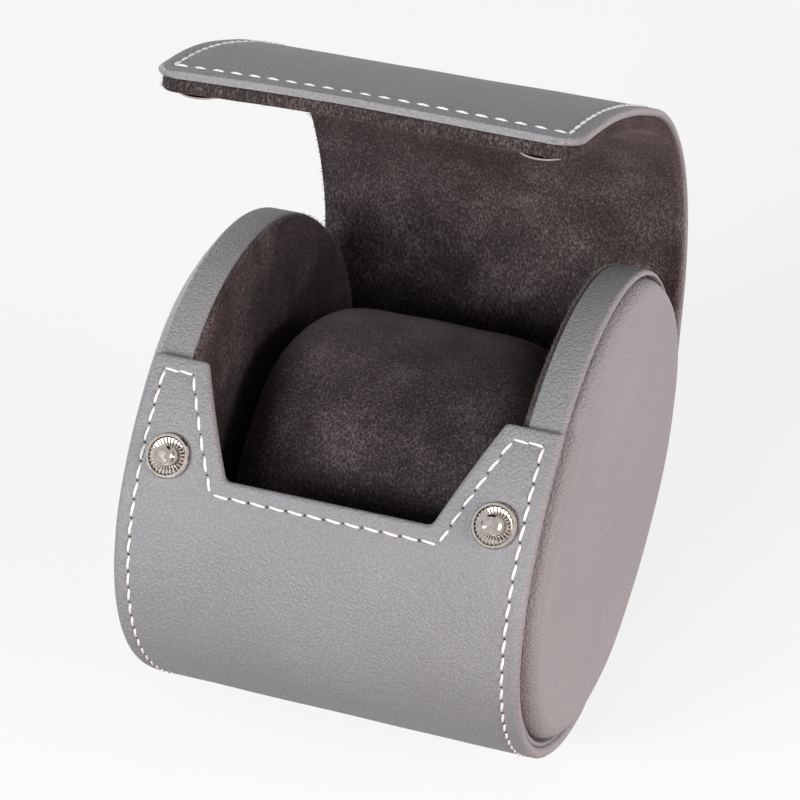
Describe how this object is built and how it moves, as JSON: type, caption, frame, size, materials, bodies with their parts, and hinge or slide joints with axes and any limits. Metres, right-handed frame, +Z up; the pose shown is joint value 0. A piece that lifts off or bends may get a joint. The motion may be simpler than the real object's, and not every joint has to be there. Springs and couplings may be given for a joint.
{
  "type": "watch travel case",
  "caption": "Oval leather roll case for a single watch, with padded end discs, a wrap-over lid that closes on two press snaps, and a loose suede pillow inside.",
  "frame": {"origin": "centre of the small resting flat under the case", "axes": "+X along the roll to the case's left-hand snap side as seen from behind (the viewer's right from the front), -Y to the front where the snaps are, +Z up"},
  "size_m": [0.078, 0.1073, 0.1341],
  "materials": {
    "grey_leather": "fine pebble grain, satin",
    "suede": "brushed microfibre suede",
    "board": "raw pressed board",
    "foam": "open-cell foam",
    "nickel": "polished nickel plate"
  },
  "bodies": {
    "case": {"case_leather": "grey_leather", "case_board": "board", "case_lining": "suede", "hinge_roll": "grey_leather", "left_end_board": "board", "left_rim_leather": "grey_leather", "left_face_pad": "foam", "left_face_leather": "grey_leather", "left_end_lining": "suede", "right_end_board": "board", "right_rim_leather": "grey_leather", "right_face_pad": "foam", "right_face_leather": "grey_leather", "right_end_lining": "suede", "snap_studs": "nickel", "stud_rivets": "nickel"},
    "lid": {"lid_leather": "grey_leather", "lid_board": "board", "lid_lining": "suede", "flap_fold_roll": "grey_leather"},
    "flap": {"flap_leather": "grey_leather", "flap_board": "board", "flap_lining": "suede", "snap_sockets": "nickel", "socket_springs": "nickel", "socket_caps": "nickel"},
    "pillow": {"pillow_foam": "foam", "pillow_sleeve": "suede", "pillow_end_panels": "suede"}
  },
  "joints": [
    {"name": "lid_hinge", "type": "hinge", "parent": "case", "child": "lid", "pos_m": [0, 0.05151, 0.04872], "axis": [1, 0, 0], "range_deg": [-45, 29]},
    {"name": "flap_fold", "type": "hinge", "parent": "lid", "child": "flap", "pos_m": [0, 0.01062, 0.11708], "axis": [1, 0, 0], "range_deg": [-10, 29]},
    {"name": "pillow_lift", "type": "slide", "parent": "case", "child": "pillow", "axis": [0, 0, 1], "range_m": [0, 0.008]}
  ]
}
